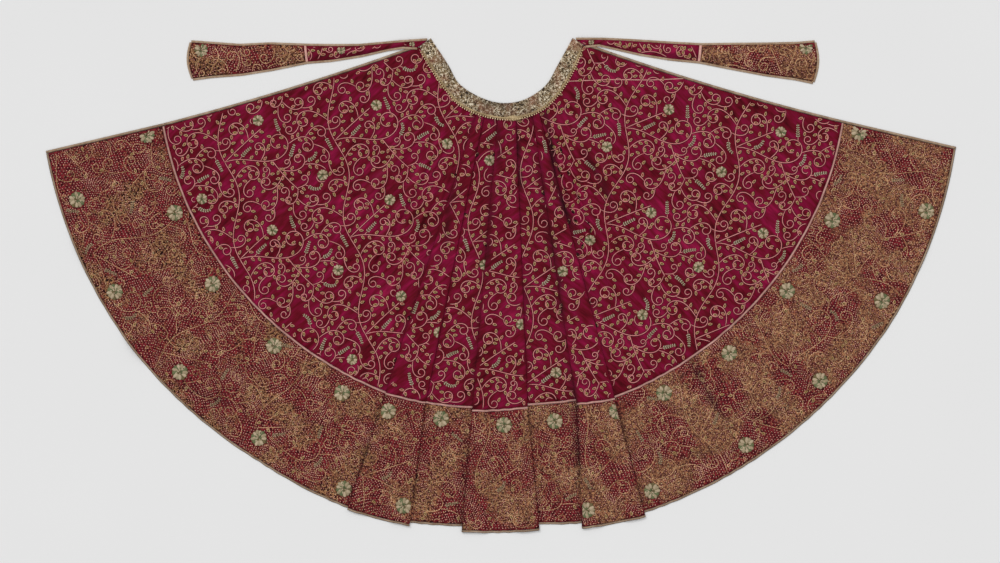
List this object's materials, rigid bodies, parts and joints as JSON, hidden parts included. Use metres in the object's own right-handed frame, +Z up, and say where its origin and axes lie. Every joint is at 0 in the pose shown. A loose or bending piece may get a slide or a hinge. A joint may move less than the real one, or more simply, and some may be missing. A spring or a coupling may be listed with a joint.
{
  "type": "wedding cape",
  "caption": "Semicircular embroidered bridal cape laid flat, with a deep border, box pleats down the back, a curved neck band and flared ties.",
  "frame": {"origin": "centre of the outline's bounding box, on the surface that the cape lies on", "axes": "+X along the overall width, towards the right-hand tie as it lies face up; +Y towards the neck; +Z up, out of the face of the cloth"},
  "size_m": [2.0976, 1.141, 0.0121],
  "materials": {
    "crimson_satin": "lined silk satin, embroidered with gold cord",
    "border_brocade": "satin filled with couched gold thread and embroidered vines",
    "pink_piping": "covered cord piping",
    "edge_binding": "folded woven binding",
    "neck_brocade": "metal-thread brocade",
    "gold_thread": "gold thread braid with picot beads"
  },
  "bodies": {
    "root": {"body_cloth": "crimson_satin", "seam_piping": "pink_piping", "border_cloth": "border_brocade", "hem_piping": "pink_piping", "front_binding_left": "edge_binding", "front_binding_right": "edge_binding", "neck_band_left": "neck_brocade", "neck_band_right": "neck_brocade", "neck_picot_edging": "gold_thread", "tie_left_satin": "crimson_satin", "tie_left_seam_piping": "pink_piping", "tie_left_border": "border_brocade", "tie_left_end_piping": "edge_binding", "tie_left_top_binding": "edge_binding", "tie_left_foot_binding": "edge_binding", "tie_right_satin": "crimson_satin", "tie_right_seam_piping": "pink_piping", "tie_right_border": "border_brocade", "tie_right_end_piping": "edge_binding", "tie_right_top_binding": "edge_binding", "tie_right_foot_binding": "edge_binding"}
  },
  "joints": []
}
